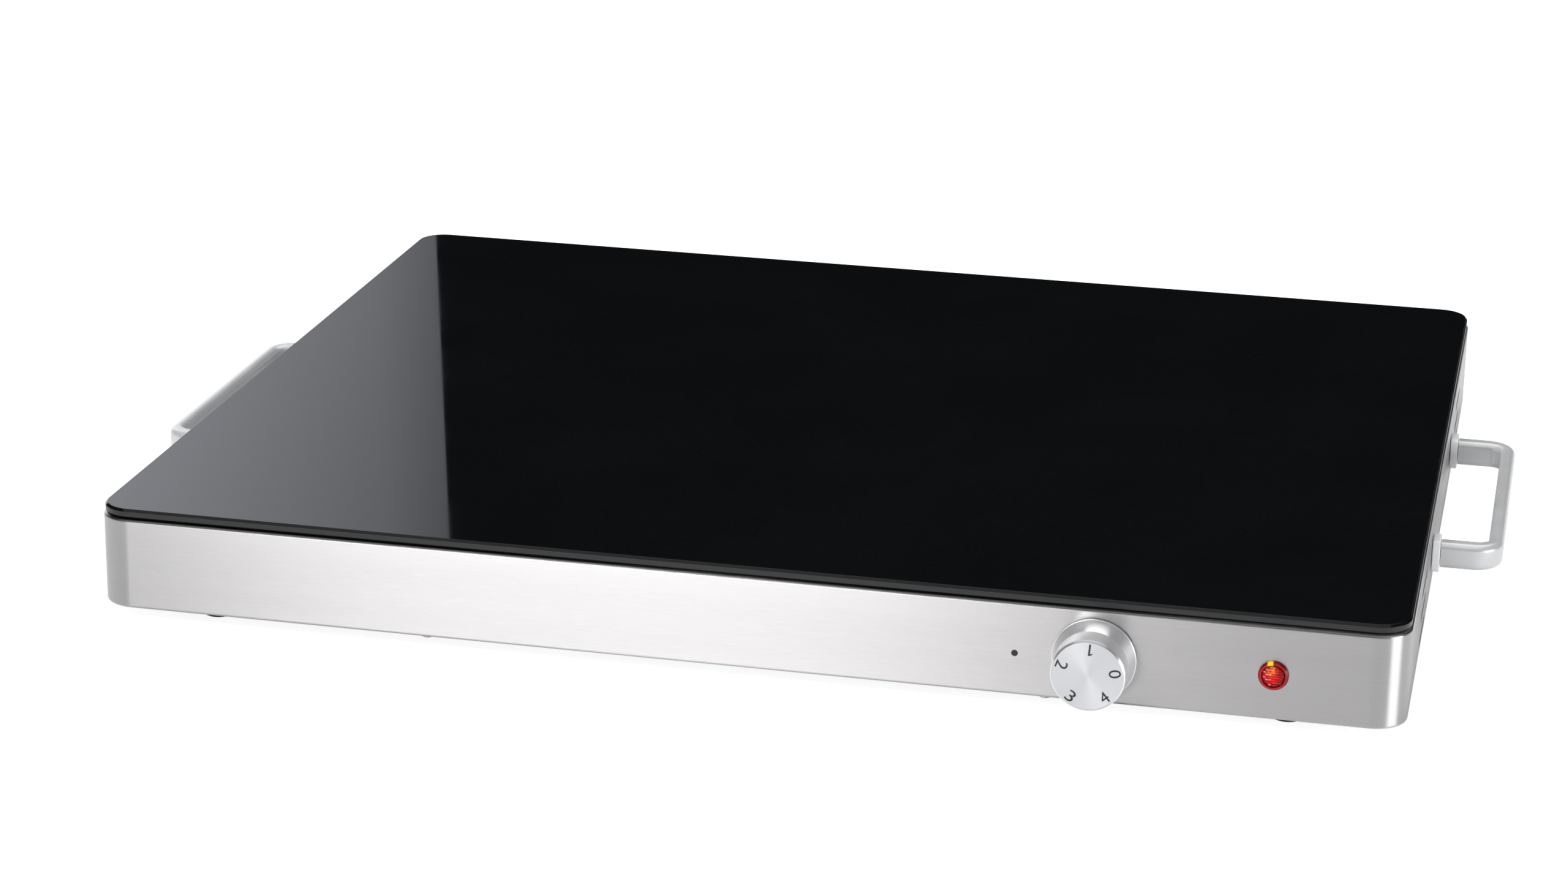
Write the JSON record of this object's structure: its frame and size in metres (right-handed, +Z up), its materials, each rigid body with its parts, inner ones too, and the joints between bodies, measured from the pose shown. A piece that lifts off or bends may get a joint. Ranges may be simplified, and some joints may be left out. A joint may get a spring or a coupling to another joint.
{
  "type": "warming hot plate",
  "caption": "Flat electric warming plate: black glass top on a brushed steel housing, with a numbered rotary knob, a red pilot lamp and two side handles.",
  "frame": {"origin": "on the table, under the centre of the whole object's box", "axes": "+X to the right as seen from the front, the front with its knob faces -Y, +Z up"},
  "size_m": [0.667, 0.5358, 0.054],
  "materials": {
    "black_glass": "gloss black glass with a ground arris",
    "brushed_steel": "brushed along its length",
    "turned_aluminium": "turned face with fine rings",
    "handle_paint": "silver grey, smooth satin",
    "collar_plastic": "pale grey satin",
    "lamp_red": "clear red moulded lens",
    "rubber": "black rubber",
    "silicone": "black silicone",
    "sheet_aluminium": "mill finish",
    "galvanised": "galvanised sheet",
    "element_steel": "annealed sheath",
    "screw_steel": "zinc plated",
    "brass": "plain",
    "fibre": "needled mineral fibre",
    "phenolic": "black moulding",
    "nylon": "natural nylon",
    "wire_brown": "insulated wire",
    "wire_blue": "insulated wire",
    "wire_green": "insulated wire"
  },
  "bodies": {
    "case": {"glass_top": "black_glass", "housing": "brushed_steel", "handle_left": "handle_paint", "handle_right": "handle_paint", "handle_collar_left_front": "collar_plastic", "handle_collar_left_rear": "collar_plastic", "handle_collar_right_front": "collar_plastic", "handle_collar_right_rear": "collar_plastic", "handle_screw_left_front": "screw_steel", "handle_screw_left_rear": "screw_steel", "handle_screw_right_front": "screw_steel", "handle_screw_right_rear": "screw_steel", "base_screw_1": "screw_steel", "base_screw_2": "screw_steel", "base_screw_3": "screw_steel", "base_screw_4": "screw_steel", "base_screw_5": "screw_steel", "base_screw_6": "screw_steel", "foot_screw_1": "screw_steel", "foot_screw_2": "screw_steel", "foot_screw_3": "screw_steel", "foot_screw_4": "screw_steel", "regulator_nut": "screw_steel", "lamp_clip": "screw_steel", "lamp_lens": "lamp_red", "foot_1": "rubber", "foot_2": "rubber", "foot_3": "rubber", "foot_4": "rubber", "glass_seal": "silicone", "heat_spreader": "sheet_aluminium", "reflector_tray": "sheet_aluminium", "base_plate": "galvanised", "tray_rail_left": "galvanised", "tray_rail_right": "galvanised", "heater_strap_1": "galvanised", "heater_strap_2": "galvanised", "heater_strap_3": "galvanised", "cutout_clamp": "galvanised", "heater_tube": "element_steel", "heater_pin_left": "brass", "heater_pin_right": "brass", "earth_stud": "brass", "insulation_pad": "fibre", "regulator_body": "phenolic", "thermal_cutout": "phenolic", "cord_gland": "phenolic", "lamp_body": "nylon", "terminal_block": "nylon", "gland_nut": "nylon", "live_wire": "wire_brown", "cutout_wire": "wire_brown", "heater_wire": "wire_brown", "neutral_wire": "wire_blue", "lamp_wire": "wire_blue", "earth_wire": "wire_green"},
    "knob": {"knob": "turned_aluminium", "knob_insert": "brass", "regulator_shaft": "screw_steel"}
  },
  "joints": [
    {"name": "knob_turn", "type": "hinge", "parent": "case", "child": "knob", "pos_m": [0.1647, -0.24615, 0.0268], "axis": [0, -1, 0], "range_deg": [-130, 170]}
  ]
}
